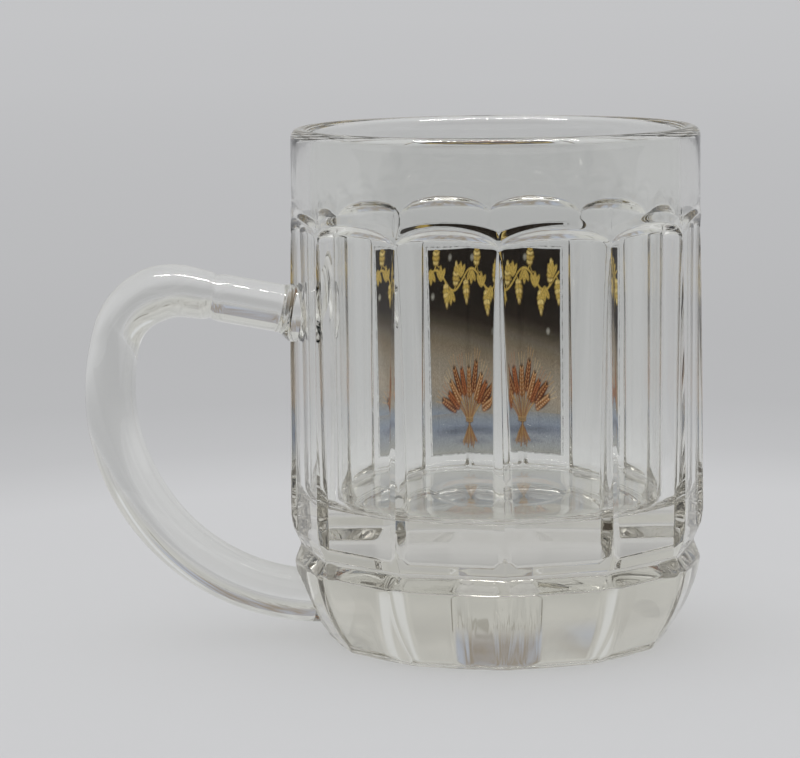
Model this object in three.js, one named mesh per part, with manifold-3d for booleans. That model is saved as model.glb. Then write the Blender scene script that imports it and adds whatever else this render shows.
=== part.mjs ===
// Beer mug of clear pressed glass: a straight rim band over twelve flat panels with ribs between them,
// a V groove, a tapered panelled foot, a loop handle fused to the wall and a fired print on two panels.
// Millimetres, +Z up. The origin is on the mug's axis, on the surface that the mug stands on.
// The handle points along -X and the print faces +Y.
import * as THREE from 'three';
import { mergeVertices, toCreasedNormals } from 'three/addons/utils/BufferGeometryUtils.js';
import Module from 'manifold-3d';

const wasm = await Module();
wasm.setup();

// Whole mug
const PANELS = 12;
const HEIGHT = 107;
const SHARP = THREE.MathUtils.degToRad(20);

// Facets of the round forms, and steps along each arc of a profile
const ROUND_FACETS = 96;
const FOOT_STEPS = 8;
const LIP_STEPS = 10;
const CORNER_STEPS = 5;
const COVE_STEPS = 12;

// Rim band and cavity
const BAND_RADIUS = 42.35;
const RIM_WALL = 3.8;
const CAVITY_DRAFT = 0.65;
const FLOOR_HEIGHT = 30;
const FLOOR_CORNER = 3;
const DISH_RADIUS = 15;
const DISH_CORE = 9;
const DISH_DEPTH = 0.6;

// Flat panels, which run out under the band in a cove
const COVE_HEIGHT = 86;
const COVE_RADIUS = 5.1;
const COVE_LAP = 1;
const PANEL_SINK = 1.4;
const PANEL_FLARE = 0.35;

// Roof-shaped ribs between the panels, which grow from nothing at the top
const RIB_WIDTH = 4.7;
const RIB_SLOPE = THREE.MathUtils.degToRad(28);
const RIB_LEVELS = 10;
const RIB_ROOT = 1.2;

// V groove between the panels and the foot
const GROOVE_HEIGHT = 19.8;
const GROOVE_DEPTH = 1.43;
const GROOVE_ABOVE = 2.6;
const GROOVE_BELOW = 3.3;

// Foot
const FOOT_RADIUS = 42.6;
const FOOT_SINK = 1;
const FOOT_ARC = 32;
const BASE_RADIUS = 35.8;
const BASE_EDGE = 0.7;

// Handle, in the plane of the axis: a straight arm, a tight bend and one long grip arc down to the foot
const ARM_HEIGHT = 69.1;
const ARM_RISE = THREE.MathUtils.degToRad(10.7);
const ARM_LENGTH = 22.3;
const BEND_RADIUS = 12.95;
const BEND_TURN = THREE.MathUtils.degToRad(85.7);
const GRIP_END_HEIGHT = 8.7;
const ARM_THICKNESS = 10;
const BEND_THICKNESS = 11.7;
const GRIP_THICKNESS = 10.3;
const GRIP_END_THICKNESS = 11.2;
const GRIP_SINK = 1;
const HANDLE_WIDTH_RATIO = 1.08;
const ARM_EVEN = 0.8;
const BEND_PEAK = 1 / 3;
const GRIP_EVEN = 0.4;
const HANDLE_SPACE = 90;
const HANDLE_SIDES = 24;
const HANDLE_ROWS = [6, 14, 26, 2];

// Crease round the arm where the two gathers of glass met, and the roots that seat the handle
const CREASE_REACH = 16.4;
const CREASE_DEPTH = 0.5;
const CREASE_WIDTH = 1.4;
const ROOT_DEPTH = 2.1;
const SEAT_PROUD = 1.6;
const FILLET = 1;

// Printed picture over the two panels beside the rear rib: it follows the next rib on the handle's side
const PRINT_CLEARANCE = 0.1;
const PRINT_FOOT = 31.2;
const PRINT_HEAD = 78.7;
const PRINT_THICKNESS = 0.3;
const PRINT_GAP = 0.15;
const PRINT_MARGIN = 1;

const STEP = (2 * Math.PI) / PANELS;
const HALF = STEP / 2;
const UP = Math.PI / 2;

// Turns a geometry into a solid that can be cut and joined.
function solidOf(geometry) {
  const bare = geometry.clone();
  bare.deleteAttribute('normal');
  bare.deleteAttribute('uv');
  const merged = mergeVertices(bare);
  const corners = merged.getIndex().array;
  const kept = [];
  for (let i = 0; i < corners.length; i += 3) {
    const [a, b, c] = [corners[i], corners[i + 1], corners[i + 2]];
    if (a !== b && b !== c && c !== a) kept.push(a, b, c);
  }
  return new wasm.Manifold(new wasm.Mesh({
    numProp: 3,
    vertProperties: Float32Array.from(merged.getAttribute('position').array),
    triVerts: Uint32Array.from(kept),
  }));
}

function geometryOf(solid) {
  const mesh = solid.getMesh();
  const geometry = new THREE.BufferGeometry();
  const places = new THREE.BufferAttribute(Float32Array.from(mesh.vertProperties), mesh.numProp);
  geometry.setAttribute('position', places);
  geometry.setIndex(new THREE.BufferAttribute(Uint32Array.from(mesh.triVerts), 1));
  return toCreasedNormals(geometry, SHARP);
}

// Triangles that close a convex section, fanned from its first corner.
function fan(count) {
  return Array.from({ length: count - 2 }, (_, i) => [0, i + 2, i + 1]).flat();
}

// Triangles that close a thin section, whose second half runs back along its first.
function strip(count) {
  const last = count - 1;
  return Array.from({ length: count / 2 - 1 }, (_, i) => [
    [i, last - 1 - i, i + 1],
    [i, last - i, last - 1 - i],
  ]).flat(2);
}

// Skins a row of closed sections that have the same number of points, and closes both ends.
function loft(sections, cap = fan) {
  const count = sections[0].length;
  const places = sections.flat().flatMap((point) => [point.x, point.y, point.z]);
  const corners = [];
  for (let row = 0; row + 1 < sections.length; row += 1) {
    for (let i = 0; i < count; i += 1) {
      const a = row * count + i;
      const b = row * count + ((i + 1) % count);
      corners.push(a, b, b + count, a, b + count, a + count);
    }
  }
  const last = (sections.length - 1) * count;
  const end = cap(count);
  corners.push(...end, ...end.map((corner) => last + corner).reverse());
  const geometry = new THREE.BufferGeometry();
  geometry.setAttribute('position', new THREE.Float32BufferAttribute(places, 3));
  geometry.setIndex(corners);
  return geometry;
}

// Turns a profile of radius and height about the mug's axis. A corner lies on every rib.
function turned(profile, facets) {
  const geometry = new THREE.LatheGeometry(profile, facets);
  geometry.rotateX(UP);
  return solidOf(geometry);
}

// Points on the arc of the given radius that bulges outward from a to b, without a itself.
function bulge(a, b, radius, count) {
  const chord = b.clone().sub(a);
  const middle = a.clone().add(b).multiplyScalar(0.5);
  const inward = new THREE.Vector2(-chord.y, chord.x).normalize();
  if (inward.x > 0) inward.negate();
  const reach = Math.sqrt(radius * radius - chord.lengthSq() / 4);
  const centre = middle.addScaledVector(inward, reach);
  const from = a.clone().sub(centre).angle();
  const to = b.clone().sub(centre).angle();
  const turn = Math.atan2(Math.sin(to - from), Math.cos(to - from));
  return Array.from({ length: count }, (_, i) => {
    const angle = from + (turn * (i + 1)) / count;
    return pointAt(radius, angle).add(centre);
  });
}

function pointAt(radius, angle) {
  return new THREE.Vector2(radius * Math.cos(angle), radius * Math.sin(angle));
}

// Points on a quarter circle about centre, from one angle to another, both included.
function quarter(centre, radius, from, to, count) {
  return Array.from({ length: count + 1 }, (_, i) => {
    const angle = from + ((to - from) * i) / count;
    return pointAt(radius, angle).add(centre);
  });
}

// Distances of the panels' planes from the axis
const panelTop = BAND_RADIUS - PANEL_SINK;
const panelFoot = panelTop + PANEL_FLARE;
const grooveBottom = panelFoot - GROOVE_DEPTH;
const grooveCorner = grooveBottom / Math.cos(HALF);
const grooveTop = GROOVE_HEIGHT + GROOVE_ABOVE;
const footTop = GROOVE_HEIGHT - GROOVE_BELOW;

function panelDistance(z) {
  return THREE.MathUtils.mapLinear(z, grooveTop, COVE_HEIGHT, panelFoot, panelTop);
}

// Half the width of a rib: nothing at the cove's foot, then fast and ever slower down to the groove.
function ribHalfWidth(z) {
  const drop = THREE.MathUtils.clamp((COVE_HEIGHT - z) / (COVE_HEIGHT - grooveTop), 0, 1);
  return (RIB_WIDTH / 2) * Math.sqrt(drop);
}

// How far a panel's flat reaches from the ridge of one rib to the near side of the next.
function panelReach(z) {
  return 2 * panelDistance(z) * Math.sin(HALF) - ribHalfWidth(z);
}

// Heights of a rib's sections, from the groove up, each as much narrower than the last.
function ribLevel(i) {
  return THREE.MathUtils.lerp(COVE_HEIGHT, GROOVE_HEIGHT, (1 - i / RIB_LEVELS) ** 2);
}

// Radius of a rib's edge, where its two faces stand on the panels at that half width.
function ribEdge(z) {
  const crease = ribHalfWidth(z) * (Math.tan(RIB_SLOPE) * Math.cos(HALF) - Math.sin(HALF));
  return (panelDistance(z) + crease) / Math.cos(HALF);
}

// The turned form: base, foot, groove, a clear space for the panels, band, lip, cavity and floor.
function turnedBody() {
  const outside = 2 * BAND_RADIUS;
  const bandFoot = COVE_HEIGHT - COVE_LAP;
  const lip = RIM_WALL / 2;
  const lipCentre = new THREE.Vector2(BAND_RADIUS - lip, HEIGHT - lip);
  const cavityFoot = BAND_RADIUS - RIM_WALL - CAVITY_DRAFT;
  const corner = new THREE.Vector2(cavityFoot - FLOOR_CORNER, FLOOR_HEIGHT + FLOOR_CORNER);
  const footStart = new THREE.Vector2(BASE_RADIUS, BASE_EDGE);
  const footEnd = new THREE.Vector2(FOOT_RADIUS, footTop);
  const profile = [
    new THREE.Vector2(0, 0),
    new THREE.Vector2(BASE_RADIUS - BASE_EDGE, 0),
    footStart,
    ...bulge(footStart, footEnd, FOOT_ARC, FOOT_STEPS),
    new THREE.Vector2(grooveCorner, GROOVE_HEIGHT),
    new THREE.Vector2(outside, GROOVE_HEIGHT),
    new THREE.Vector2(outside, bandFoot),
    new THREE.Vector2(BAND_RADIUS, bandFoot),
    ...quarter(lipCentre, lip, 0, Math.PI, LIP_STEPS),
    ...quarter(corner, FLOOR_CORNER, 0, -UP, CORNER_STEPS),
    new THREE.Vector2(DISH_RADIUS, FLOOR_HEIGHT),
    new THREE.Vector2(DISH_CORE, FLOOR_HEIGHT - DISH_DEPTH),
    new THREE.Vector2(0, FLOOR_HEIGHT - DISH_DEPTH),
  ];
  return turned(profile, ROUND_FACETS);
}

// The twelve-sided form: panels on the foot, the groove's two flanks, the drafted panels and the cove.
function panelledBody() {
  const top = HEIGHT + COVE_LAP;
  const footStart = new THREE.Vector2(BASE_RADIUS - FOOT_SINK, BASE_EDGE);
  const footEnd = new THREE.Vector2(FOOT_RADIUS - FOOT_SINK, footTop);
  const coveCentre = new THREE.Vector2(panelTop + COVE_RADIUS, COVE_HEIGHT);
  const distances = [
    new THREE.Vector2(0, 0),
    new THREE.Vector2(footStart.x - BASE_EDGE, 0),
    footStart,
    ...bulge(footStart, footEnd, FOOT_ARC, FOOT_STEPS),
    new THREE.Vector2(grooveBottom, GROOVE_HEIGHT),
    new THREE.Vector2(panelFoot, grooveTop),
    ...quarter(coveCentre, COVE_RADIUS, Math.PI, UP, COVE_STEPS),
    new THREE.Vector2(panelTop + COVE_RADIUS, top),
    new THREE.Vector2(0, top),
  ];
  const corners = distances.map((point) => new THREE.Vector2(point.x / Math.cos(HALF), point.y));
  return turned(corners, PANELS);
}

// Twelve ribs, each a row of roof-shaped sections rooted in the wall and cut below by the groove's flanks.
function ribs() {
  const sections = [];
  for (let i = 0; i <= RIB_LEVELS; i += 1) {
    const z = ribLevel(i);
    const edge = Math.min(ribEdge(z), i === RIB_LEVELS ? BAND_RADIUS : Infinity);
    const foot = ribHalfWidth(z) + RIB_ROOT;
    const shoulder = edge - foot * Math.tan(RIB_SLOPE);
    sections.push([
      new THREE.Vector3(0, edge, z),
      new THREE.Vector3(-foot, shoulder, z),
      new THREE.Vector3(-foot, shoulder - RIB_ROOT, z),
      new THREE.Vector3(foot, shoulder - RIB_ROOT, z),
      new THREE.Vector3(foot, shoulder, z),
    ]);
  }
  const flank = (panelFoot - grooveBottom) / GROOVE_ABOVE;
  const rise = COVE_HEIGHT + COVE_LAP - GROOVE_HEIGHT;
  const rounded = turned([
    new THREE.Vector2(0, GROOVE_HEIGHT),
    new THREE.Vector2(grooveCorner, GROOVE_HEIGHT),
    new THREE.Vector2((grooveBottom + flank * rise) / Math.cos(HALF), GROOVE_HEIGHT + rise),
    new THREE.Vector2(0, GROOVE_HEIGHT + rise),
  ], PANELS);
  const all = [];
  for (let i = 0; i < PANELS; i += 1) {
    const rib = loft(sections);
    rib.rotateZ(i * STEP);
    all.push(solidOf(rib).intersect(rounded));
  }
  return all;
}

function arc(centre, radius, from, to) {
  return new THREE.EllipseCurve(centre.x, centre.y, radius, radius, from, to, true);
}

// Centre line of the handle as distance from the axis and height, from inside the wall to inside the foot.
function handleLine() {
  const along = new THREE.Vector2(Math.cos(ARM_RISE), Math.sin(ARM_RISE));
  const wall = new THREE.Vector2(BAND_RADIUS, ARM_HEIGHT);
  const root = wall.clone().addScaledVector(along, -ROOT_DEPTH);
  const armEnd = wall.clone().addScaledVector(along, ARM_LENGTH);
  const bendFrom = ARM_RISE + UP;
  const bendTo = bendFrom - BEND_TURN;
  const bendCentre = armEnd.clone().sub(pointAt(BEND_RADIUS, bendFrom));
  const bendEnd = bendCentre.clone().add(pointAt(BEND_RADIUS, bendTo));
  const gripRadius = (bendEnd.y - GRIP_END_HEIGHT) / (1 + Math.sin(bendTo));
  const gripCentre = bendEnd.clone().sub(pointAt(gripRadius, bendTo));
  const gripEnd = gripCentre.clone().sub(new THREE.Vector2(0, gripRadius));
  const tip = new THREE.Vector2(Math.min(BASE_RADIUS, gripEnd.x) - GRIP_SINK, gripEnd.y);
  const line = new THREE.CurvePath();
  line.add(new THREE.LineCurve(root, armEnd));
  line.add(arc(bendCentre, BEND_RADIUS, bendFrom, bendTo));
  line.add(arc(gripCentre, gripRadius, bendTo, -UP));
  line.add(new THREE.LineCurve(gripEnd, tip));
  return line;
}

// Thickness of the handle along its line, eased between the arm, the bend, the grip and the lower end.
function handleThickness(distance, [arm, bend, grip, end]) {
  const stops = [
    [0, ARM_THICKNESS],
    [ARM_EVEN * arm, ARM_THICKNESS],
    [THREE.MathUtils.lerp(arm, bend, BEND_PEAK), BEND_THICKNESS],
    [bend, GRIP_THICKNESS],
    [THREE.MathUtils.lerp(bend, grip, GRIP_EVEN), GRIP_END_THICKNESS],
    [end, GRIP_END_THICKNESS],
  ];
  const next = Math.max(1, stops.findIndex(([at]) => at >= distance));
  const [from, before] = stops[next - 1];
  const [to, after] = stops[next];
  return THREE.MathUtils.lerp(before, after, THREE.MathUtils.smoothstep(distance, from, to));
}

// The whole handle as one loft, with a fillet at the wall and a crease round the arm.
function handleSolid() {
  const line = handleLine();
  const ends = line.getCurveLengths();
  const length = ends.at(-1);
  const creaseAt = ROOT_DEPTH + CREASE_REACH / Math.cos(ARM_RISE);
  const seatAt = ROOT_DEPTH + SEAT_PROUD;
  const distances = [0];
  ends.forEach((to, stretch) => {
    const from = stretch ? ends[stretch - 1] : 0;
    const rows = HANDLE_ROWS[stretch];
    for (let i = 1; i <= rows; i += 1) distances.push(THREE.MathUtils.lerp(from, to, i / rows));
  });
  for (const side of [-1, 0, 1]) distances.push(creaseAt + (side * CREASE_WIDTH) / 2);
  for (const share of [0, 0.3, 0.6, 1]) distances.push(THREE.MathUtils.lerp(ROOT_DEPTH, seatAt, share));
  distances.sort((a, b) => a - b);
  const sections = distances.map((distance) => {
    const centre = line.getPointAt(distance / length);
    const ahead = line.getTangentAt(distance / length);
    const dip = CREASE_DEPTH * Math.max(0, 1 - (2 * Math.abs(distance - creaseAt)) / CREASE_WIDTH);
    const flare = FILLET * THREE.MathUtils.clamp((seatAt - distance) / SEAT_PROUD, 0, 1) ** 2;
    const half = handleThickness(distance, ends) / 2 - dip + flare;
    return Array.from({ length: HANDLE_SIDES }, (_, i) => {
      const angle = (i / HANDLE_SIDES) * 2 * Math.PI;
      const across = Math.cos(angle) * half * HANDLE_WIDTH_RATIO;
      const outward = -Math.sin(angle) * half;
      return new THREE.Vector3(ahead.y * outward - centre.x, across, centre.y + ahead.x * outward);
    });
  });
  return solidOf(loft(sections));
}

// A block on the handle's side of the mug, between two distances from the axis and above a height.
function block(near, far, low) {
  const height = 2 * HEIGHT;
  const box = new THREE.BoxGeometry(far - near, 2 * BAND_RADIUS, height);
  box.translate(-(near + far) / 2, 0, low + height / 2);
  return solidOf(box);
}

// The printed picture: a film over both panels and the rib between them.
function printFilm() {
  const levels = [PRINT_FOOT, PRINT_HEAD];
  for (let i = 1; i < RIB_LEVELS; i += 1) {
    const z = ribLevel(i);
    if (z > PRINT_FOOT + PRINT_MARGIN && z < PRINT_HEAD - PRINT_MARGIN) levels.push(z);
  }
  levels.sort((a, b) => a - b);
  const straight = panelReach(PRINT_FOOT) - PRINT_CLEARANCE;
  const sections = levels.map((z) => {
    const side = (x) => (panelDistance(z) - Math.abs(x) * Math.sin(HALF)) / Math.cos(HALF);
    const beside = panelReach(z) - PRINT_CLEARANCE;
    const outline = [-beside, -ribHalfWidth(z), 0, ribHalfWidth(z), straight];
    const places = outline.map((x) => [x, x === 0 ? ribEdge(z) : side(x)]);
    const inner = places.map(([x, y]) => new THREE.Vector3(x, y + PRINT_GAP, z));
    const outer = places.map(([x, y]) => new THREE.Vector3(x, y + PRINT_GAP + PRINT_THICKNESS, z));
    return [...inner, ...outer.reverse()];
  });
  return solidOf(loft(sections, strip));
}

// A block square to the arm, which ends at the crease and holds all of the handle between it and the mug.
function creaseBlock() {
  const size = 2 * BAND_RADIUS;
  const box = new THREE.BoxGeometry(size, size, size / 2);
  box.translate(size / 2, 0, 0);
  box.rotateY(ARM_RISE);
  const rise = CREASE_REACH * Math.tan(ARM_RISE);
  box.translate(-BAND_RADIUS - CREASE_REACH, 0, ARM_HEIGHT + rise);
  return solidOf(box);
}

const seat = BAND_RADIUS + SEAT_PROUD;
const handle = handleSolid();
const freeHandle = handle.intersect(block(seat, seat + HANDLE_SPACE, -HEIGHT));
let body = turnedBody().intersect(panelledBody());
for (const rib of ribs()) body = body.add(rib);
body = body.add(handle.intersect(block(0, seat, -HEIGHT)));

const glass = { color: 0xeef1ee, roughness: 0.04, metalness: 0, transparent: true, opacity: 0.4 };
const mug = new THREE.Group();

function addPiece(name, solid, look) {
  const piece = new THREE.Mesh(geometryOf(solid), new THREE.MeshStandardMaterial(look));
  piece.name = name;
  mug.add(piece);
}

addPiece('glass_body', body, glass);
addPiece('handle_arm', freeHandle.intersect(creaseBlock()), glass);
addPiece('handle_grip', freeHandle.subtract(creaseBlock()), glass);
addPiece('printed_picture', printFilm(), { color: 0x39424c, roughness: 0.5, metalness: 0 });

export default mug;
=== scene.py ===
"""Looks of a pressed glass beer mug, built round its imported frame. Metres, +Z up, handle along -X."""

import math

import bmesh
import bpy
import numpy as np
from mathutils import Matrix, Vector


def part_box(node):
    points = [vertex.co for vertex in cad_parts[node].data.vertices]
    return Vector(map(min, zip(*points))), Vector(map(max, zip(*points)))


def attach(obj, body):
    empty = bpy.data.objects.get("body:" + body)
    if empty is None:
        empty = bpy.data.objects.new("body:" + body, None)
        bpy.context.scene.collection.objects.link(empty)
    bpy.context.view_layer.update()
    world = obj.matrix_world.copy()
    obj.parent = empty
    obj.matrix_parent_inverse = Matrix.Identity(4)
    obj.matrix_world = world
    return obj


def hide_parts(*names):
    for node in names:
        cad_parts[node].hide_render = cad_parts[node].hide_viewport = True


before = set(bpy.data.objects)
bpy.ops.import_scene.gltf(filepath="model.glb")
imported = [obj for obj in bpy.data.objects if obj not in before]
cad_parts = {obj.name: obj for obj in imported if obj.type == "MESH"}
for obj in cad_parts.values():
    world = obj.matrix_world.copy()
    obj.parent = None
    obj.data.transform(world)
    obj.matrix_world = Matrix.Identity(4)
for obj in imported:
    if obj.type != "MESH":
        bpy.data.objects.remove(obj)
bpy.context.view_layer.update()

# Sizes of the glass in millimetres
MM = 0.001
PANELS = 12
STEP = math.tau / PANELS
HALF = STEP / 2
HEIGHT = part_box("glass_body")[1].z / MM
BAND_RADIUS = 42.35
RIM_WALL = 3.8
CAVITY_DRAFT = 0.65
FLOOR_HEIGHT = 30
FLOOR_CORNER = 3
DISH_RADIUS = 15
DISH_EDGE = 1.5
DISH_DEPTH = 0.6

# Arches that end the panels at the band, with a cove below their edge and a bead above it
COVE_HEIGHT = 86
COVE_REACH = 3.4
COVE_LEAST = 0.05
COVE_POWER = 3.4
ARCH_FOOT = 85.4
ARCH_LEAD = 0.1
ARCH_RISE = 3.45
ARCH_ROUND = 0.55
ARCH_END = 0.995
ARCH_MIDDLE = 88.1
BEAD = 0.185
BEAD_REACH = 2.4
BEAD_CREST = 0.35
BEAD_DROP = 1

# Panels and ribs, and the front rib's lean, which grows from the groove upward
PANEL_SINK = 1.4
PANEL_FLARE = 0.03
RIB_WIDTH = 4.5
RIB_SLOPE = math.radians(34)
RIB_CAP_SLOPE = 0.5
RIB_SHIFT = math.radians(-1.3)
RIB_SHIFT_RISE = 48

# Groove and foot
GROOVE_HEIGHT = 19.8
GROOVE_DEPTH = 1.11
GROOVE_ABOVE = 2.6
GROOVE_BELOW = 3.3
FOOT_RADIUS = 42.6
FOOT_SINK = 1
FOOT_ARC = 32
FOOT_BLEND = 2
BASE_RADIUS = 35.8
BASE_EDGE = 0.9
RECESS_RADIUS = 30
RECESS_DEPTH = 0.9
RECESS_SLOPE = 1.2
RECESS_CROWN = 0.15
STIPPLE_INSET = 0.8
STIPPLE_OUTSIDE = 34.9
STIPPLE_FADE = 0.6
STIPPLE_HEIGHT = 0.035

# Roundness that the fire polish leaves on the pressed edges
EDGE = 0.32
RIB_EDGE = 0.06
RIB_APEX = 0.05
FOOT_EDGE = 0.24
ARCH_EDGE = 0.4

# Handle
ARM_HEIGHT = 69.1
ARM_RISE = math.radians(10.7)
ARM_LENGTH = 22.26
BEND_RADIUS = 12.95
BEND_TURN = math.radians(85.7)
GRIP_END_HEIGHT = 8.7
GRIP_TIP = 1
ARM_THICKNESS = 10
BEND_THICKNESS = 11.7
GRIP_THICKNESS = 10.3
GRIP_END_THICKNESS = 11.2
HANDLE_WIDTH_RATIO = 1.08
HANDLE_SIDES = 44
HANDLE_SPACING = 0.9
CREASE_REACH = 16.4
CREASE_DEPTH = 0.5
CREASE_WIDTH = 1.6
CREASE_POWER = 1.5
ROOT_DEPTH = 2.4
FILLET = 1.5
FILLET_REACH = 2.6
FILLET_POWER = 2.2

# Print: heights above the table, the gap to the rib beside it, and where its film's two sides lie
PRINT_CLEARANCE = 0.2
PRINT_FOOT = 31.2
PRINT_HEAD = 78.7
PRINT_GAIN = 1.5
PRINT_INSIDE = -0.03
PRINT_OUTSIDE = 0.07
PRINT_COLUMNS = 197
PRINT_ROWS = 238

# Tones of the print's artwork, as 8-bit display colours
HOP_GOLD = (180, 154, 82)
HOP_SHADE = (128, 106, 58)
HOP_PALE = (204, 184, 120)
GRAIN_SHADE = (58, 42, 36)
FLECK_TONE = (150, 148, 140)
WORN_TONE = (120, 120, 112)

panel_top = BAND_RADIUS - PANEL_SINK
panel_foot = panel_top + PANEL_FLARE
groove_bottom = panel_foot - GROOVE_DEPTH
groove_top = GROOVE_HEIGHT + GROOVE_ABOVE
foot_top = GROOVE_HEIGHT - GROOVE_BELOW


def smooth_min(a, b, width=EDGE):
    near = np.maximum(width - np.abs(a - b), 0) / width
    return np.minimum(a, b) - near * near * width / 4


def smooth_max(a, b, width=EDGE):
    return -smooth_min(-a, -b, width)


def smooth_step(share):
    """From 0 to 1 with level ends."""
    share = np.clip(share, 0, 1)
    return share * share * (3 - 2 * share)


def barrel(start, end, radius):
    """Distance from the axis at a height, on the arc that bulges outward from start to end."""
    (r0, z0), (r1, z1) = start, end
    chord = math.hypot(r1 - r0, z1 - z0)
    reach = math.sqrt(radius**2 - chord**2 / 4)
    centre_r = (r0 + r1) / 2 - reach * (z1 - z0) / chord
    centre_z = (z0 + z1) / 2 + reach * (r1 - r0) / chord
    return lambda z: centre_r + np.sqrt(np.maximum(radius**2 - (z - centre_z) ** 2, 0))


foot_round = barrel((BASE_RADIUS, BASE_EDGE), (FOOT_RADIUS, foot_top), FOOT_ARC)
foot_flat = barrel((BASE_RADIUS - FOOT_SINK, BASE_EDGE), (FOOT_RADIUS - FOOT_SINK, foot_top), FOOT_ARC)


def panel_distance(z):
    return np.interp(z, [groove_top, COVE_HEIGHT], [panel_foot, panel_top])


def rib_half_width(z):
    drop = np.clip((COVE_HEIGHT - z) / (COVE_HEIGHT - groove_top), 0, 1)
    return RIB_WIDTH / 2 * np.sqrt(drop)


def shifted(theta, z):
    """The front rib leans: how far its surroundings are turned round the mug at a height."""
    near = np.abs((theta + math.pi / 2 + math.pi) % math.tau - math.pi)
    return RIB_SHIFT * np.clip((z - GROOVE_HEIGHT) / RIB_SHIFT_RISE, 0, 1) * np.clip(1 - near / STEP, 0, 1)


def arch_line(theta):
    """Height of the arched edge over a panel, and how much it rises per millimetre round the mug."""
    ridge = np.abs((theta + HALF) % STEP - HALF)
    share = np.minimum(np.sin(HALF - ridge) / math.sin(HALF), ARCH_END)
    arch = ARCH_FOOT + ARCH_LEAD + ARCH_RISE * (1 - share**2) ** ARCH_ROUND
    steep = 2 * ARCH_RISE * ARCH_ROUND * share * (1 - share**2) ** (ARCH_ROUND - 1)
    return arch, steep / (BAND_RADIUS * math.sin(HALF))


def arched_wall(theta, z, panel):
    """Radius of band and panel: above the arch's edge a bead, below it a cove that runs out on the panel."""
    arch, steep = arch_line(theta)
    below = np.maximum((arch - z) / np.sqrt(1 + steep**2), ARCH_FOOT - z)
    depth = np.maximum(BAND_RADIUS - panel, 0)
    height = COVE_REACH * np.sqrt(depth / PANEL_SINK) + COVE_LEAST
    left = np.maximum(height - smooth_max(below, 0 * below, ARCH_EDGE), 0)
    cove = depth * (left / height) ** COVE_POWER
    crest = smooth_step((BEAD_REACH + below) / (BEAD_REACH - BEAD_CREST))
    fade = np.clip(1 - below / BEAD_DROP, 0, 1) ** 2
    return BAND_RADIUS - depth + cove + BEAD * crest * np.where(below > 0, fade, 1)


def rib_roof(ridge, z, panel):
    """Radius of the roof-shaped rib between two panels, which sinks into the band above the cove."""
    rib_half = rib_half_width(z)
    edge = (panel + rib_half * (math.tan(RIB_SLOPE) * math.cos(HALF) - math.sin(HALF))) / math.cos(HALF)
    lean = np.sqrt(np.sin(ridge) ** 2 + (RIB_APEX / BAND_RADIUS) ** 2)
    rib = edge / (np.cos(ridge) + math.tan(RIB_SLOPE) * lean)
    cap = BAND_RADIUS + np.maximum(COVE_HEIGHT - z, 0) * RIB_CAP_SLOPE
    return np.minimum(rib, cap) - np.maximum(z - COVE_HEIGHT, 0)


def panelled_foot(z, across):
    """Radius of the barrel foot, with flat facets, round strips between them and the groove's lower flank."""
    corner = groove_bottom / math.cos(HALF)
    below = GROOVE_HEIGHT - z
    round_flank = corner + (FOOT_RADIUS - corner) / GROOVE_BELOW * below
    flat_flank = groove_bottom + (FOOT_RADIUS - FOOT_SINK - groove_bottom) / GROOVE_BELOW * below
    strip = smooth_min(foot_round(z), round_flank)
    facet = smooth_min(foot_flat(z), flat_flank) / across
    return smooth_min(strip, facet, FOOT_EDGE)


def outer_radius(theta, z):
    """The glass's outer surface: round band, panels with their cove, ribs, V groove and panelled foot."""
    theta, z = np.broadcast_arrays(np.asarray(theta, float), np.asarray(z, float))
    theta = theta - shifted(theta, z)
    ridge = np.abs((theta + HALF) % STEP - HALF)
    across = np.cos(HALF - ridge)
    panel = panel_distance(z)
    wall = smooth_max(arched_wall(theta, z, panel / across), rib_roof(ridge, z, panel), RIB_EDGE)
    flank = groove_bottom + (panel_foot - groove_bottom) / GROOVE_ABOVE * (z - GROOVE_HEIGHT)
    upper = smooth_min(wall, flank / across)
    foot = panelled_foot(z, across)
    return np.where(z < foot_top - FOOT_BLEND, foot, smooth_max(foot, upper))


def column_angles():
    """Angles round the mug: close together at the ribs and wider on the flat panels."""
    rib_end, rib_spacing = 3.5, 0.36
    panel_start, middle = 3.6, math.degrees(HALF)
    rib = np.arange(0, rib_end, rib_spacing)
    panel = np.linspace(panel_start, middle, 9)[:-1]
    half = np.radians(np.concatenate([rib, panel]))
    one = np.concatenate([half, [HALF], (STEP - half[1:])[::-1]])
    return np.concatenate([one + k * STEP for k in range(PANELS)])


def stipple(x, y):
    """A fine uneven texture, from -1 to 1."""
    waves = (
        np.sin(3.1 * x + 0.7 * y) * np.sin(2.7 * y - 0.9 * x)
        + 0.7 * np.sin(5.3 * x - 2.1 * y + 1.3) * np.sin(4.9 * y + 1.7 * x)
        + 0.5 * np.sin(8.1 * x + 3.7 * y + 0.4) * np.sin(7.3 * y - 2.9 * x + 2.0)
    )
    return waves / 2.2


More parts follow.
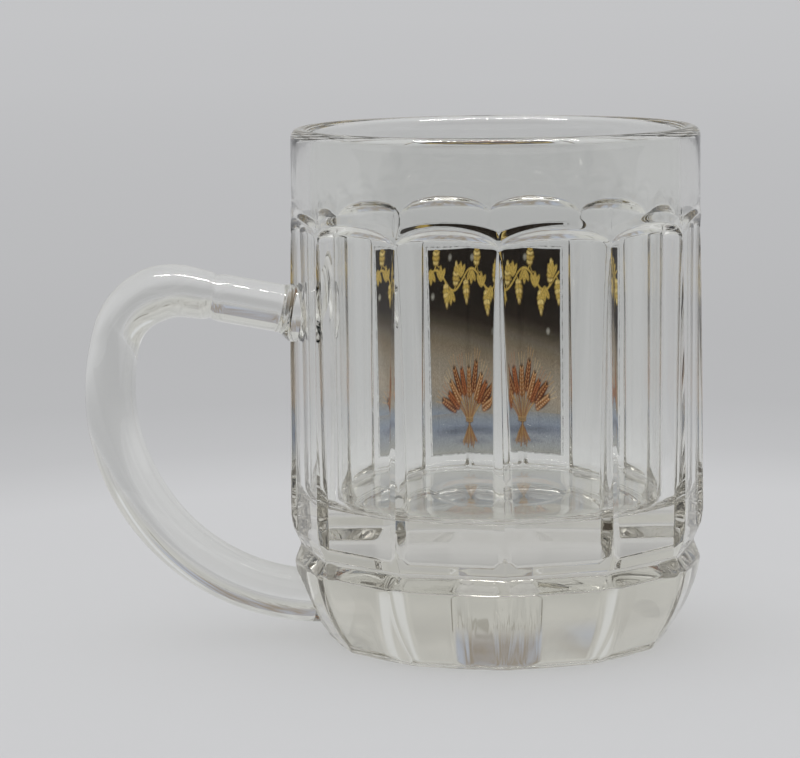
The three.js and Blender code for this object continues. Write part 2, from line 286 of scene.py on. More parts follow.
class GlassRings:
    """Rings of the body in millimetres, from the underside's middle over the lip to the floor's middle."""

    def __init__(self, theta):
        self.theta = theta
        self.rings = []
        self.underside()
        self.foot_and_panels()
        self.arches()
        self.lip()
        self.cavity()

    def add(self, radius, z, turned=0):
        angle = self.theta + turned
        radius, z = radius + 0 * angle, z + 0 * angle
        self.rings.append(np.stack([radius * np.cos(angle), radius * np.sin(angle), z], 1))

    def add_outer(self, z):
        turned = shifted(self.theta, z)
        self.add(outer_radius(self.theta + turned, z), z, turned)

    def underside(self):
        """A shallow crowned recess, a stippled ring to stand on and the foot's rounded edge."""
        middle, outermost, spacing = 1, 34.8, 0.4
        recess = np.linspace(middle, RECESS_RADIUS - 1.6, 14)
        ring = np.arange(RECESS_RADIUS - RECESS_SLOPE, outermost, spacing)
        for radius in np.concatenate([recess, ring]):
            rise = RECESS_DEPTH * np.clip((RECESS_RADIUS + RECESS_SLOPE - radius) / (2 * RECESS_SLOPE), 0, 1)
            crown = 1 + RECESS_CROWN - RECESS_CROWN * (radius / RECESS_RADIUS) ** 2
            inner_fade = np.clip(radius - RECESS_RADIUS - STIPPLE_INSET, 0, 1)
            outer_fade = np.clip((STIPPLE_OUTSIDE - radius) / STIPPLE_FADE, 0, 1)
            rough = STIPPLE_HEIGHT * inner_fade * outer_fade
            x, y = radius * np.cos(self.theta), radius * np.sin(self.theta)
            self.add(radius, rise * crown + rough * (1 + stipple(x, y)))
        base = outer_radius(self.theta, BASE_EDGE)
        for turn in np.linspace(0, math.pi / 2, 6):
            self.add(base - BASE_EDGE * (1 - math.sin(turn)), BASE_EDGE * (1 - math.cos(turn)))

    def foot_and_panels(self):
        """Wide steps up the foot and the panels, and fine ones across the groove."""
        fine_start, fine_end, spacing, panels_end = foot_top - 1.75, groove_top + 1, 0.3, 74
        foot = np.linspace(BASE_EDGE, foot_top - FOOT_BLEND, 15)[1:]
        groove = np.arange(fine_start, fine_end, spacing)
        panels = np.linspace(fine_end, panels_end, 20)
        for z in np.concatenate([foot, groove, panels]):
            self.add_outer(z)

    def arches(self):
        """Rows that follow the arches' edge between two heights, and are level further off."""
        level_below, blend_in = 75, 8
        level_above, blend_out = 98, 5
        spacings = ((75, 85, 1.5), (85.2, 87, 0.3), (87, 91.5, 0.15), (91.6, 97, 0.9), (99, 103, 3))
        rise = arch_line(self.theta)[0] - ARCH_MIDDLE
        for height in np.concatenate([np.arange(*stretch) for stretch in spacings]):
            follow = np.clip((height - level_below) / blend_in, 0, 1)
            follow *= np.clip((level_above - height) / blend_out, 0, 1)
            self.add_outer(height + rise * follow)

    def lip(self):
        half = RIM_WALL / 2
        for turn in np.linspace(0, math.pi, 18):
            self.add(BAND_RADIUS - half + half * math.cos(turn), HEIGHT - half + half * math.sin(turn))

    def cavity(self):
        """The drafted inner wall, a round corner and a floor with a shallow dish."""
        top = HEIGHT - RIM_WALL / 2
        foot = BAND_RADIUS - RIM_WALL - CAVITY_DRAFT
        for share in np.linspace(0, 1, 9)[1:-1]:
            z = top + share * (FLOOR_HEIGHT + FLOOR_CORNER - top)
            self.add(BAND_RADIUS - RIM_WALL - CAVITY_DRAFT * share, z)
        for turn in np.linspace(0, math.pi / 2, 9):
            radius = foot - FLOOR_CORNER + FLOOR_CORNER * math.cos(turn)
            self.add(radius, FLOOR_HEIGHT + FLOOR_CORNER - FLOOR_CORNER * math.sin(turn))
        for radius in np.linspace(foot - FLOOR_CORNER, 1, 26)[1:]:
            sunk = smooth_step((DISH_RADIUS + DISH_EDGE - radius) / (2 * DISH_EDGE))
            self.add(radius, FLOOR_HEIGHT - DISH_DEPTH * sunk)


def ring_mesh(name, rings):
    """A closed mesh from rings of points with the same count, closed at both ends by a middle point."""
    count = rings.shape[1]
    points = np.concatenate([rings.reshape(-1, 3), rings[0].mean(0)[None], rings[-1].mean(0)[None]])
    around = np.arange(count)
    ahead = (around + 1) % count
    faces = []
    for row in range(len(rings) - 1):
        low = row * count
        high = low + count
        faces += np.stack([low + around, low + ahead, high + ahead, high + around], 1).tolist()
    first, last = len(points) - 2, len(points) - 1
    top = (len(rings) - 1) * count
    faces += [[first, int(b), int(a)] for a, b in zip(around, ahead)]
    faces += [[last, int(top + a), int(top + b)] for a, b in zip(around, ahead)]
    mesh = bpy.data.meshes.new(name)
    mesh.from_pydata((points * MM).tolist(), [], faces)
    mesh.validate()
    return mesh


def new_object(name, mesh, material):
    made = bpy.data.objects.new(name, mesh)
    bpy.context.scene.collection.objects.link(made)
    mesh.materials.append(material)
    return made


def on_circle(radius, angle):
    return radius * np.array([math.cos(angle), math.sin(angle)])


def handle_line():
    """Points, directions and distances along the handle, and the distances where its stretches end.

    The stretches are an arm, a tight bend, a long grip arc and a short tip inside the foot.
    """
    wall = np.array([BAND_RADIUS, ARM_HEIGHT])
    along = on_circle(1, ARM_RISE)
    arm_end = wall + along * ARM_LENGTH
    bend_from = ARM_RISE + math.pi / 2
    bend_to = bend_from - BEND_TURN
    bend_centre = arm_end - on_circle(BEND_RADIUS, bend_from)
    bend_end = bend_centre + on_circle(BEND_RADIUS, bend_to)
    grip_radius = (bend_end[1] - GRIP_END_HEIGHT) / (1 + math.sin(bend_to))
    grip_centre = bend_end - on_circle(grip_radius, bend_to)
    arm = ARM_LENGTH + ROOT_DEPTH
    bend = arm + BEND_RADIUS * BEND_TURN
    grip = bend + grip_radius * (bend_to + math.pi / 2)
    end = grip + grip_centre[0] - BASE_RADIUS + GRIP_TIP
    places, headings = [], []
    distances = np.linspace(0, end, int(end / HANDLE_SPACING))
    for distance in distances:
        if distance < arm:
            place = wall + along * (distance - ROOT_DEPTH)
            heading = ARM_RISE
        elif distance < bend:
            angle = bend_from - (distance - arm) / BEND_RADIUS
            place = bend_centre + on_circle(BEND_RADIUS, angle)
            heading = angle - math.pi / 2
        elif distance < grip:
            angle = bend_to - (distance - bend) / grip_radius
            place = grip_centre + on_circle(grip_radius, angle)
            heading = angle - math.pi / 2
        else:
            place = grip_centre + np.array([grip - distance, -grip_radius])
            heading = -math.pi
        places.append(place)
        headings.append(heading)
    return np.array(places), np.array(headings), distances, (arm, bend, grip, end)


def handle_rings():
    """Rings round the handle's line, with a flare at the root and a crease on the arm."""
    places, headings, distances, (arm, bend, grip, end) = handle_line()
    stretches = (
        (0, ARM_THICKNESS),
        (0.8 * arm, ARM_THICKNESS),
        (arm + (bend - arm) / 3, BEND_THICKNESS),
        (bend, GRIP_THICKNESS),
        (bend + 0.4 * (grip - bend), GRIP_END_THICKNESS),
        (end, GRIP_END_THICKNESS),
    )
    thickness = np.interp(distances, *zip(*stretches))
    neighbours = 4
    kernel = np.hanning(2 * neighbours + 1)
    thickness = np.convolve(np.pad(thickness, neighbours, mode="edge"), kernel / kernel.sum(), "valid")
    crease = ROOT_DEPTH + CREASE_REACH / math.cos(ARM_RISE)
    dip = CREASE_DEPTH * np.clip(1 - np.abs(distances - crease) / CREASE_WIDTH, 0, 1) ** CREASE_POWER
    flare = FILLET * np.clip((ROOT_DEPTH + FILLET_REACH - distances) / FILLET_REACH, 0, 1) ** FILLET_POWER
    half = thickness / 2 - dip + flare
    angle = np.linspace(0, math.tau, HANDLE_SIDES, endpoint=False)
    out = np.cos(angle)[None] * half[:, None]
    side = np.sin(angle)[None] * half[:, None] * HANDLE_WIDTH_RATIO
    reach = places[:, :1] - np.sin(headings)[:, None] * out
    z = places[:, 1:] + np.cos(headings)[:, None] * out
    return np.stack([-reach, side, z], -1)


class Shading:
    """The shader nodes of a material or world, with short ways to add and link them."""

    def __init__(self, owner):
        owner.use_nodes = True
        self.nodes, self.links = owner.node_tree.nodes, owner.node_tree.links

    def put(self, value, socket):
        """Sets a socket to a number or a colour, or links another node's output to it."""
        if isinstance(value, (int, float, tuple)):
            socket.default_value = value
        else:
            self.links.new(value, socket)

    def add(self, kind, **values):
        """A new node and the values of its inputs, whose names have underscores for spaces."""
        node = self.nodes.new("ShaderNode" + kind)
        for name, value in values.items():
            self.put(value, node.inputs[name.replace("_", " ")])
        return node

    def principled(self, **values):
        """The material's own shader, with the values of its inputs."""
        shader = self.nodes["Principled BSDF"]
        for name, value in values.items():
            self.put(value, shader.inputs[name.replace("_", " ")])
        return shader.outputs["BSDF"]

    def place(self):
        return self.add("TexCoord").outputs["Object"]

    def parts(self, vector):
        return self.add("SeparateXYZ", Vector=vector).outputs

    def noise(self, vector, scale, detail):
        return self.add("TexNoise", Vector=vector, Scale=scale, Detail=detail).outputs["Fac"]

    def calculation(self, kind, operation, values):
        node = self.add(kind)
        node.operation = operation
        for value, socket in zip(values, (s for s in node.inputs if s.enabled)):
            self.put(value, socket)
        return next(s for s in node.outputs if s.enabled)

    def number(self, operation, *values):
        return self.calculation("Math", operation, values)

    def vector(self, operation, *values):
        return self.calculation("VectorMath", operation, values)

    def times(self, first, second):
        return self.number("MULTIPLY", first, second)

    def between(self, value, start, end, low=0.0, high=1.0, kind="SMOOTHSTEP"):
        """From low to high while the value goes from start to end."""
        node = self.add("MapRange", From_Min=start, From_Max=end, To_Min=low, To_Max=high)
        node.interpolation_type = kind
        self.links.new(value, node.inputs["Value"])
        return node.outputs["Result"]

    def ramp(self, value, stops):
        """Colours between the given places of a value from 0 to 1."""
        node = self.add("ValToRGB", Fac=value)
        while len(node.color_ramp.elements) < len(stops):
            node.color_ramp.elements.new(0.5)
        for element, (place, colour) in zip(node.color_ramp.elements, stops):
            element.position = place
            element.color = (*colour, 1)
        return node.outputs["Color"]

    def overlay(self, under, cover, over, kind="MIX"):
        """One colour laid over another."""
        node = self.add("Mix")
        node.data_type = "RGBA"
        node.blend_type = kind
        for name, value in (("Factor", cover), ("A", under), ("B", over)):
            self.put(value, next(s for s in node.inputs if s.name == name and s.enabled))
        return next(s for s in node.outputs if s.enabled)

    def mix(self, cover, under, over):
        """One shader laid over another."""
        node = self.add("MixShader")
        for value, socket in zip((cover, under, over), node.inputs):
            self.links.new(value, socket)
        return node.outputs["Shader"]

    def finish(self, surface, volume=None):
        """Links a material's output, and drops its first shader where nothing uses it."""
        out = self.nodes["Material Output"]
        self.links.new(surface, out.inputs["Surface"])
        if volume:
            self.links.new(volume, out.inputs["Volume"])
        first = self.nodes["Principled BSDF"]
        if not first.outputs["BSDF"].is_linked:
            self.nodes.remove(first)


def clear_glass():
    """Clear soda-lime glass. Lamps and soft light pass it a little dimmed, so its shadow stays light."""
    material = bpy.data.materials.new("clear_glass")
    shading = Shading(material)
    ripple = shading.noise(shading.place(), scale=55, detail=1.0)
    bump = shading.add("Bump", Strength=0.25, Distance=0.0003, Height=ripple)
    glass = shading.principled(
        Base_Color=(0.985, 0.99, 0.975, 1),
        Roughness=0.0,
        IOR=1.52,
        Transmission_Weight=1.0,
        Normal=bump.outputs["Normal"],
    )
    path = shading.add("LightPath").outputs
    through = shading.number("MAXIMUM", path["Is Shadow Ray"], path["Is Diffuse Ray"])
    clear = shading.add("BsdfTransparent", Color=(0.93, 0.93, 0.92, 1))
    tint = shading.add("VolumeAbsorption", Color=(0.70, 0.665, 0.57, 1), Density=6.0)
    shading.finish(shading.mix(through, glass, clear.outputs["BSDF"]), tint.outputs["Volume"])
    return material


def glass_mug():
    """Body and handle as one piece of glass."""
    material = clear_glass()
    rings = np.array(GlassRings(column_angles()).rings)
    body = new_object("mug_glass", ring_mesh("mug_glass", rings), material)
    handle = new_object("handle_tube", ring_mesh("handle_tube", handle_rings()), material)
    join = body.modifiers.new("join", "BOOLEAN")
    join.operation = "UNION"
    join.solver = "MANIFOLD"
    join.object = handle
    evaluated = body.evaluated_get(bpy.context.evaluated_depsgraph_get())
    mesh = bpy.data.meshes.new_from_object(evaluated)
    body.modifiers.clear()
    body.data = mesh
    bpy.data.objects.remove(handle)
    mesh.shade_smooth()
    mesh.set_sharp_from_angle(angle=math.radians(50))
    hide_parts("glass_body", "handle_arm", "handle_grip")
    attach(body, "root")


def linear(tone):
    """Scene-linear values of an 8-bit display colour."""
    share = np.asarray(tone, float) / 255
    return np.where(share <= 0.04045, share / 12.92, ((share + 0.055) / 1.055) ** 2.4)


def picture_reach(z):
    """How far the print reaches on the handle's side, where it follows the rib."""
    return 2 * panel_distance(z) * math.sin(HALF) - rib_half_width(z) - PRINT_CLEARANCE


class Painting:
    """Flat colours laid over each other on a grid of points, each shape given by a formula."""

    def __init__(self, u, v):
        self.u, self.v = u, v
        self.colour = np.zeros((*u.shape, 3))
        self.grain = stipple(2.3 * u, 2.1 * v)

    def lay(self, cover, tone):
        cover = np.clip(cover, 0, 1)[..., None]
        self.colour = self.colour * (1 - cover) + linear(tone) * cover

    def ellipse(self, place, reach, turn, tone, soft=0.15, amount=1.0):
        du, dv = self.u - place[0], self.v - place[1]
        along = du * math.cos(turn) + dv * math.sin(turn)
        aside = dv * math.cos(turn) - du * math.sin(turn)
        outside = (np.hypot(along / reach[0], aside / reach[1]) - 1) * min(reach)
        self.lay(amount * (0.5 - outside / (2 * soft)), tone)

    def stroke(self, points, width, tone, soft=0.12, amount=1.0):
        nearest = np.full(self.u.shape, 1e3)
        for (u0, v0), (u1, v1) in zip(points[:-1], points[1:]):
            du, dv = u1 - u0, v1 - v0
            share = ((self.u - u0) * du + (self.v - v0) * dv) / max(du * du + dv * dv, 1e-9)
            share = np.clip(share, 0, 1)
            nearest = np.minimum(nearest, np.hypot(self.u - u0 - share * du, self.v - v0 - share * dv))
        self.lay(amount * (0.5 - (nearest - width / 2) / (2 * soft)), tone)


def paint_ground(art):
    """Night-dark sky that lightens to warm grey in a slanting haze, over a blue-grey ground."""
    ground_head = 41
    level = np.where(art.v < ground_head, art.v, art.v + 0.14 * art.u + 0.25 * art.grain)
    places = [31, 32.8, 35, 38, 39.6, 42, 46, 50.6, 52.8, 55.1, 57.3, 59.5, 62.2, 66]
    tones = [
        (168, 166, 161), (150, 152, 153), (141, 145, 154), (124, 133, 150), (128, 135, 147), (137, 131, 122),
        (149, 138, 125), (137, 128, 116), (131, 121, 107), (117, 106, 91), (103, 95, 84), (72, 65, 56),
        (44, 38, 33), (36, 31, 27),
    ]
    colours = linear(tones)
    for channel in range(3):
        art.colour[..., channel] = np.interp(level, places, colours[:, channel])


def bine(u):
    """Height of the hops' wavy bine."""
    return 70.6 + 2.4 * math.sin(0.36 * u + 0.9)


def paint_hop(art, u, side):
    """A hop's cone on one side of the bine, row by row, and a leaf with three lobes on the other."""
    cone_widths = (1.35, 1.7, 1.6, 1.2, 0.6)
    v = bine(u)
    tip = (u + 0.8, v - side * 1.2)
    art.stroke([(u, v), tip], 0.35, HOP_GOLD)
    for row, width in enumerate(cone_widths):
        at = (tip[0] + 0.1 * row, tip[1] - side * (0.5 + 1.0 * row))
        lit = HOP_GOLD if row % 2 else HOP_PALE
        art.ellipse(at, (width, 0.85), 0, HOP_SHADE)
        art.ellipse((at[0] - 0.12, at[1] + 0.14), (0.82 * width, 0.62), 0, lit)
        art.stroke([(at[0], at[1] + 0.7), (at[0], at[1] - 0.6)], 0.12, HOP_SHADE, amount=0.8)
    leaf = (u - 1.7, v)
    for lobe in (-0.7, 0.0, 0.7):
        turn = side * (math.pi / 2 + lobe)
        heart = (leaf[0] + 1.5 * math.cos(turn), leaf[1] + 1.5 * math.sin(turn))
        end = (heart[0] + math.cos(turn), heart[1] + math.sin(turn))
        art.ellipse(heart, (1.6, 0.7), turn, HOP_GOLD)
        art.stroke([leaf, end], 0.14, HOP_SHADE)


def paint_garland(art):
    """Hops in gold on a wavy bine across the dark part, with curled tendrils between them."""
    hops = (-16.2, -11.4, -6.6, -1.6, 3.4, 8.2, 12.6, 16.0)
    tendrils = (-13.8, -4.1, 5.8, 14.4)
    art.stroke([(u, bine(u)) for u in np.linspace(-18.3, 17.2, 72)], 0.5, HOP_GOLD)
    for index, u in enumerate(hops):
        paint_hop(art, u, side=1 if index % 2 else -1)
    for u in tendrils:
        curl = []
        for t in np.linspace(0.2, 2.2, 22):
            rise = 2.6 - 1.6 * math.exp(-t) - t * math.sin(2.2 * t)
            curl.append((u + 0.9 * t * math.cos(2.2 * t), bine(u) + rise))
        art.stroke(curl, 0.22, HOP_GOLD)


def paint_ear(art, start, turn, size, index):
    """One ear of barley: awns, a dark shadow and two rows of grains with their lights."""
    body = ((112, 60, 40), (144, 92, 54), (126, 72, 46))[index % 3]
    light = ((184, 144, 98), (200, 172, 132), (170, 112, 74))[index % 3]
    middle = (start[0] + 0.5 * size * math.cos(turn), start[1] + 0.5 * size * math.sin(turn))
    for side in (-1, 0, 1):
        tip = turn + 0.2 * side
        end = (middle[0] + 6.4 * math.cos(tip), middle[1] + 6.4 * math.sin(tip))
        art.stroke([middle, end], 0.16, light, amount=0.75)
    art.ellipse(middle, (0.54 * size, 1.25), turn, GRAIN_SHADE, amount=0.85)
    for row in range(7):
        for side in (-1, 1):
            along = 0.55 + row * size / 7.6
            aside = 0.55 * side * (1 - 0.05 * row)
            grain = (
                start[0] + along * math.cos(turn) - aside * math.sin(turn),
                start[1] + along * math.sin(turn) + aside * math.cos(turn),
            )
            art.ellipse(grain, (0.78, 0.36), turn + 0.42 * side, body)
            top = (grain[0] + 0.1 * math.cos(turn), grain[1] + 0.1 * math.sin(turn) + 0.08)
            art.ellipse(top, (0.45, 0.17), turn + 0.42 * side, light, soft=0.1, amount=0.9)


def paint_sheaf(art):
    """Ears of barley tied in a low sheaf, russet and amber with dark grain lines, over soft shadows."""
    shadows = (((-7, 36.9), (6.5, 0.75)), ((6, 37.2), (8, 0.7)), ((1, 34.6), (4, 0.45)))
    for place, reach in shadows:
        art.ellipse(place, reach, 0, (92, 98, 112), soft=0.6, amount=0.8)
    root = (0.2, 38.2)
    straws = ((150, 110, 66), (166, 132, 84), (138, 96, 60))
    leans = (-1.02, 0.98, -0.84, 0.8, -0.66, 0.62, -0.46, 0.43, -0.25, 0.22, 0.0)
    reaches = [11.2 + 1.3 * math.sin(2.3 * index + 0.4) for index in range(len(leans))]
    for index, (lean, reach) in enumerate(zip(leans, reaches)):
        stem = []
        for t in np.linspace(-0.42, 1, 16):
            bend = lean * (0.72 + 0.34 * max(t, 0) ** 2)
            stem.append((root[0] + reach * t * math.sin(bend), root[1] + reach * t * math.cos(bend)))
        art.stroke(stem, 0.55, GRAIN_SHADE, amount=0.5)
        art.stroke(stem, 0.38, straws[index % 3])
    for index, (lean, reach) in enumerate(zip(leans, reaches)):
        bend = lean * 1.06
        start = (root[0] + reach * 0.62 * math.sin(bend), root[1] + reach * 0.62 * math.cos(bend))
        paint_ear(art, start, math.pi / 2 - bend * 1.12, 7.4 - 0.5 * (index % 3), index)
    for turn in (-0.22, 0.0, 0.22):
        band = []
        for t in (-1, -0.5, 0, 0.5, 1):
            band.append((root[0] + 1.6 * t, root[1] + 0.9 + 1.6 * turn + 0.35 * t * t))
        art.stroke(band, 0.3, (176, 142, 92))
        art.stroke([(x, y - 0.2) for x, y in band], 0.12, GRAIN_SHADE)


def paint_flecks(art):
    """A few pale flecks, scattered over the dark part and the haze."""
    for place in ((-8.6, 75.6), (2.1, 75.4), (12.4, 59.2), (-17.1, 67.2)):
        art.ellipse(place, (0.85, 0.75), 0.4, FLECK_TONE, soft=0.25, amount=0.6)


def picture_material():
    """Fired enamel: colours from the painting, broken by fine grain and pinholes, clear at its margin."""
    material = bpy.data.materials.new("fired_print")
    shading = Shading(material)
    painted = shading.add("VertexColor")
    painted.layer_name = "painting"
    place = shading.place()
    fine = shading.noise(place, scale=2600, detail=2.0)
    grain = shading.between(fine, 0.3, 0.7, low=0.8, high=1.2, kind="LINEAR")
    tinted = shading.vector("MULTIPLY", painted.outputs["Color"], grain)
    pinhole_reach = 0.035
    specks = shading.add("TexVoronoi", Vector=place, Scale=330)
    pinhole = shading.number("LESS_THAN", specks.outputs["Distance"], pinhole_reach)
    colour = shading.overlay(tinted, pinhole, (0.3, 0.28, 0.25, 1))
    enamel = shading.principled(Base_Color=colour, Roughness=0.55, Specular_IOR_Level=0.0)
    clear = shading.add("BsdfTransparent")
    shading.finish(shading.mix(painted.outputs["Alpha"], clear.outputs["BSDF"], enamel))
    return material


def picture_film(u, v, left, right):
    """How much the print covers: a ragged coloured field, a clear margin and a thin worn outline."""

    def inside(beside, straight, foot, head):
        across = np.minimum(u + left - beside, right - straight - u)
        return np.minimum(across, np.minimum(v - PRINT_FOOT - foot, PRINT_HEAD - head - v))

    margins, soft = (1.0, 1.3, 0.6, 1.1), 0.16
    line_inset, line_reach, line_cover = 0.3, 0.25, 0.6
    wave = 0.10 * stipple(0.9 * u, 1.1 * v) + 0.06 * stipple(3.1 * u, 3.7 * v)
    field = np.clip(0.5 + (inside(*margins) + wave) / soft, 0, 1)
    worn = np.clip(0.5 + 0.9 * stipple(0.55 * u + 3, 0.6 * v), 0, 1)
    outline = np.clip(1 - np.abs(inside(0, 0, 0, 0) - line_inset) / line_reach, 0, 1) * worn * line_cover
    return field, outline


def picture_mesh(u, v):
    """A closed film on the glass over a grid of places, u round the back of the mug and v up it.

    Its inner side is sunk a little into the glass, so that it shows through it without an air gap.
    """
    theta = math.pi / 2 - np.arcsin(u / BAND_RADIUS)
    surface = outer_radius(theta, v)
    sheets = []
    for lift in (PRINT_INSIDE, PRINT_OUTSIDE):
        r = surface + lift
        sheets.append(np.stack([r * np.cos(theta), r * np.sin(theta), v], -1))
    rows, columns = u.shape
    points = np.concatenate([sheet.reshape(-1, 3) for sheet in sheets])
    index = np.arange(rows * columns).reshape(rows, columns)
    quads = np.stack([index[:-1, :-1], index[1:, :-1], index[1:, 1:], index[:-1, 1:]], -1).reshape(-1, 4)
    faces = [*quads.tolist(), *(quads[:, ::-1] + rows * columns).tolist()]
    rim = np.concatenate([index[0, :-1], index[:-1, -1], index[-1, :0:-1], index[:0:-1, 0]])
    ahead = np.roll(rim, -1)
    faces += np.stack([rim, ahead, ahead + rows * columns, rim + rows * columns], 1).tolist()
    mesh = bpy.data.meshes.new("picture")
    mesh.from_pydata((points * MM).tolist(), [], faces)
    mesh.shade_smooth()
    return mesh


def printed_picture():
    """The fired print: its film, and its painting stored as a colour at each point of the film."""
    share, v = np.meshgrid(np.linspace(0, 1, PRINT_COLUMNS), np.linspace(PRINT_FOOT, PRINT_HEAD, PRINT_ROWS))
    left = picture_reach(v)
    right = picture_reach(np.array(float(PRINT_FOOT)))
    u = share * (right + left) - left
    mesh = picture_mesh(u, v)
    art = Painting(u, v)
    paint_ground(art)
    paint_garland(art)
    paint_sheaf(art)
    paint_flecks(art)
    field, outline = picture_film(u, v, left, right)
    colour = PRINT_GAIN * art.colour * field[..., None] + linear(WORN_TONE) * (1 - field[..., None])
    cover = np.maximum(field, outline)
    painted = np.concatenate([colour, cover[..., None]], -1).reshape(-1, 4)
    layer = mesh.color_attributes.new("painting", "FLOAT_COLOR", "POINT")
    layer.data.foreach_set("color", np.concatenate([painted, painted]).ravel())
    picture = new_object("picture", mesh, picture_material())
    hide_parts("printed_picture")
    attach(picture, "root")


def camera():
    """The photograph's view: 0.67 m from the mug, a little above it."""
    turned = math.radians(-2.133)
    yaw, pitch, roll = math.radians(-1.724), math.radians(7.810), math.radians(-0.597)
    distance, height = 0.67005, 0.14626
    ahead = Vector((math.sin(yaw) * math.cos(pitch), math.cos(yaw) * math.cos(pitch), -math.sin(pitch)))
    right = Vector((math.cos(yaw), -math.sin(yaw), 0))
    up = right.cross(ahead)
    across = math.cos(roll) * right + math.sin(roll) * up
    above = -math.sin(roll) * right + math.cos(roll) * up
    basis = Matrix((across, above, -ahead)).transposed().to_4x4()
    basis.translation = Vector((0, -distance, height))
    data = bpy.data.cameras.new("camera")
    data.sensor_width = 36
    data.lens = 145.62
    data.clip_start = 0.01
    data.clip_end = 50
    made = bpy.data.objects.new("camera", data)
    made.matrix_world = Matrix.Rotation(turned, 4, "Z") @ basis
    bpy.context.scene.collection.objects.link(made)
    bpy.context.scene.camera = made


def cool_grey(tone):
    return (tone * 0.995, tone, tone * 1.02)


def floor():
    """A pale cloth floor, painted lighter round the mug as a pool of light, and greyer further off, where it
    stands for the backdrop.

    It turns dark a little in front of the mug, so that the glass reflects a dark room there.
    """
    radius, sides = 12.0, 128
    turns = [i * math.tau / sides for i in range(sides)]
    mesh = bpy.data.meshes.new("floor")
    rim = [(radius * math.cos(turn), radius * math.sin(turn), 0) for turn in turns]
    mesh.from_pydata(rim, [], [list(range(sides))])
    material = bpy.data.materials.new("floor")
    shading = Shading(material)
    reach = 6.0
    # Floor tones by distance from the mug; the lighter tones near it are a painted pool of light
    tones = (
        (0.0, 0.60), (0.08, 0.625), (0.19, 0.605), (0.26, 0.525), (0.35, 0.485), (0.5, 0.479),
        (0.85, 0.497), (1.55, 0.515), (2.6, 0.539), (5.0, 0.552),
    )
    front_start, front_end, front_tone = -0.24, -0.19, 0.06
    place = shading.place()
    share = shading.between(shading.vector("LENGTH", place), 0.0, reach, kind="LINEAR")
    pale = shading.ramp(share, [(distance / reach, cool_grey(tone)) for distance, tone in tones])
    front = shading.between(shading.parts(place)["Y"], front_start, front_end, low=front_tone)
    cloth = shading.vector("SCALE", pale, front)
    shading.finish(shading.principled(Base_Color=cloth, Roughness=0.9, Specular_IOR_Level=0.0))
    new_object("floor", mesh, material)


def led_row():
    """A row of small lamps above the mug, seen only as highlights in the glass."""
    start, end, count = Vector((-0.165, -0.03, 0.42)), Vector((0.165, -0.03, 0.42)), 38
    size = (0.0021, 0.012, 0.012)
    material = bpy.data.materials.new("led_strip")
    shading = Shading(material)
    glow = shading.add("Emission", Color=(1.0, 0.98, 0.94, 1), Strength=90)
    shading.finish(glow.outputs["Emission"])
    build = bmesh.new()
    for i in range(count):
        place = start.lerp(end, i / (count - 1))
        shape = Matrix.Translation(place) @ Matrix.Diagonal((*size, 1))
        bmesh.ops.create_icosphere(build, subdivisions=2, radius=1, matrix=shape)
    mesh = bpy.data.meshes.new("led_strip")
    build.to_mesh(mesh)
    build.free()
    made = new_object("led_strip", mesh, material)
    made.visible_camera = False
    made.visible_diffuse = False
    made.visible_shadow = False


def card():
    """A dim, streaked card some way behind the mug, with soft edges, seen only through the foot as a painted
    refraction.
    """
    low, high, side, back = 0.078, 0.235, 0.1, 0.4
    soft_side, soft_low = 0.03, 0.045
    mesh = bpy.data.meshes.new("card")
    corners = [(-side, back, low), (side, back, low), (side, back, high), (-side, back, high)]
    mesh.from_pydata(corners, [], [(0, 1, 2, 3)])
    material = bpy.data.materials.new("card")
    shading = Shading(material)
    place = shading.place()
    stretched = shading.add("Mapping", Vector=place, Scale=(48, 1, 9))
    streaks = shading.noise(stretched.outputs["Vector"], scale=1.0, detail=3.0)
    colour = shading.ramp(streaks, [(0.36, (0.3, 0.26, 0.215)), (0.62, (0.42, 0.45, 0.53))])
    # The card glows but lights nothing; its brown and blue streaks are a painted refraction in the foot
    glow = shading.add("Emission", Color=colour)
    clear = shading.add("BsdfTransparent")
    apart = shading.parts(place)
    cover = shading.between(apart["X"], -side, -side + soft_side)
    cover = shading.times(cover, shading.between(apart["X"], side, side - soft_side))
    cover = shading.times(cover, shading.between(apart["Z"], low, low + soft_low))
    shading.finish(shading.mix(cover, clear.outputs["BSDF"], glow.outputs["Emission"]))
    made = new_object("card", mesh, material)
    made.visible_camera = False
    made.visible_diffuse = False
    made.visible_glossy = False
    made.visible_shadow = False


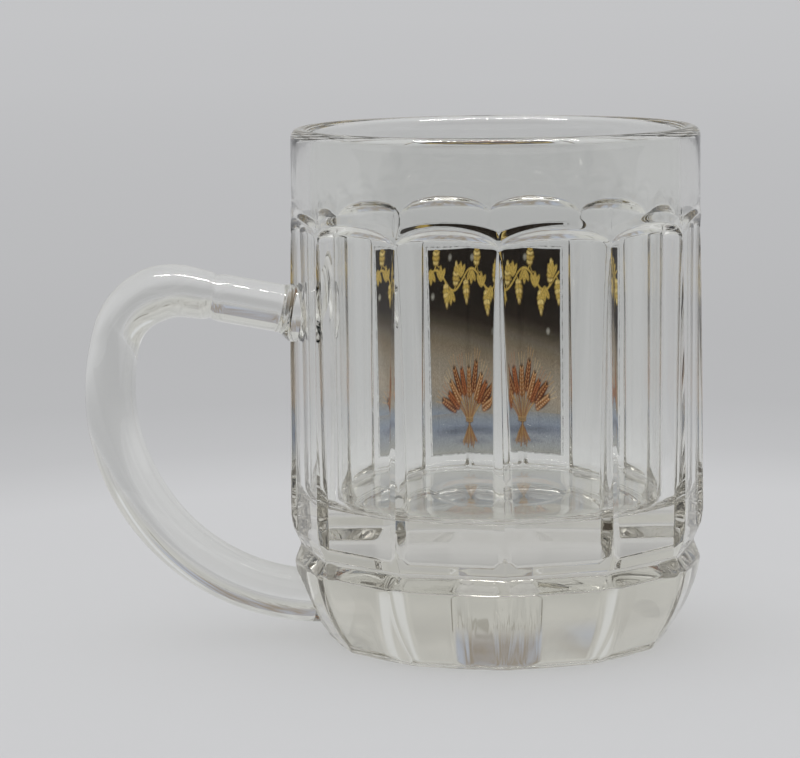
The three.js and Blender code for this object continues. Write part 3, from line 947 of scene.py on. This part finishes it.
def studio():
    """A light tent: bright cloth with soft streaks, fine folds and dim gaps, and a dark opening in front."""
    world = bpy.data.worlds.new("studio")
    bpy.context.scene.world = world
    shading = Shading(world)
    direction = shading.parts(shading.add("TexCoord").outputs["Generated"])
    azimuth = shading.number("ARCTAN2", direction["X"], direction["Y"])
    rise = shading.number("ARCSINE", direction["Z"])

    def opposite(value):
        return shading.times(value, -1)

    def window(low_turn, high_turn, low_rise, high_rise, soft):
        """Where a direction lies between two turns from straight behind and two heights, in degrees."""
        edges = (
            (azimuth, low_turn),
            (opposite(azimuth), -high_turn),
            (rise, low_rise),
            (opposite(rise), -high_rise),
        )
        cover = None
        for angle, edge in edges:
            inside = shading.between(angle, math.radians(edge) - soft, math.radians(edge) + soft)
            cover = shading.times(cover, inside) if cover else inside
        return cover

    def stretched_noise(turns, rises, detail):
        vector = shading.add("CombineXYZ", X=shading.times(azimuth, turns), Y=shading.times(rise, rises))
        return shading.noise(vector.outputs["Vector"], scale=1.0, detail=detail)

    lowest, highest = -4, 90
    span = highest - lowest
    tones = (
        (lowest, (0.57, 0.57, 0.57)), (0, (0.53, 0.53, 0.53)), (2, (0.52, 0.52, 0.52)),
        (5, (0.53, 0.53, 0.51)), (14, (0.54, 0.535, 0.515)), (28, (0.56, 0.56, 0.545)),
        (42, (0.55, 0.55, 0.54)), (62, (0.58, 0.58, 0.58)), (74, (0.85, 0.85, 0.85)),
        (highest, (0.9, 0.9, 0.9)),
    )
    share = shading.number("MULTIPLY_ADD", rise, math.degrees(1) / span, -lowest / span)
    room = shading.ramp(share, [((degrees - lowest) / span, tone) for degrees, tone in tones])
    streaks = shading.number("MULTIPLY_ADD", stretched_noise(14, 5, 2.0), 0.5, 0.75)
    room = shading.overlay(room, 1.0, streaks, "MULTIPLY")
    fold_reach, fold_core = 0.035, 0.01
    off = shading.number("ABSOLUTE", shading.number("SUBTRACT", stretched_noise(60, 5, 1.0), 0.5))
    folds = shading.between(opposite(off), -fold_reach, -fold_core)
    folds = shading.times(folds, window(-11, 12, 8, 20, 0.05))
    room = shading.overlay(room, folds, (0.38, 0.37, 0.34, 1))
    pale, dim, bright = (0.68, 0.69, 0.7, 1), (0.2, 0.19, 0.16, 1), (0.85, 0.85, 0.85, 1)
    for edges, soft, tone in (
        ((25, 31, 5, 30), 0.04, pale),
        ((-28, -22, 5, 30), 0.04, pale),
        ((15.3, 16.1, 5.5, 14), 0.008, dim),
        ((-12.6, -11.9, 5.5, 14), 0.008, dim),
        ((60, 85, 8, 35), 0.08, bright),
        ((-85, -60, 8, 35), 0.08, bright),
    ):
        room = shading.overlay(room, window(*edges, soft), tone)
    front_side, front_foot, front_head = (0.62, 0.72), (0.03, 0.06), (-0.64, -0.56)
    front = shading.between(opposite(direction["Y"]), *front_side)
    front = shading.times(front, shading.between(direction["Z"], *front_foot))
    front = shading.times(front, shading.between(opposite(direction["Z"]), *front_head))
    room = shading.overlay(room, front, (0.045, 0.033, 0.018, 1))

    seen = shading.nodes["Background"]
    shading.put(room, seen.inputs["Color"])
    lighting = shading.add("Background", Color=(1, 1, 1, 1), Strength=1.0)
    path = shading.add("LightPath").outputs
    sharp = shading.number("MAXIMUM", path["Is Glossy Ray"], path["Is Transmission Ray"])
    sharp = shading.number("MAXIMUM", sharp, path["Is Camera Ray"])
    mixed = shading.mix(sharp, lighting.outputs["Background"], seen.outputs["Background"])
    shading.put(mixed, shading.nodes["World Output"].inputs["Surface"])


camera()
floor()
studio()
led_row()
card()
glass_mug()
printed_picture()
scene = bpy.context.scene
scene.view_settings.view_transform = "Standard"
scene.cycles.max_bounces = 32
scene.cycles.transmission_bounces = 32
scene.cycles.glossy_bounces = 12
scene.cycles.transparent_max_bounces = 32
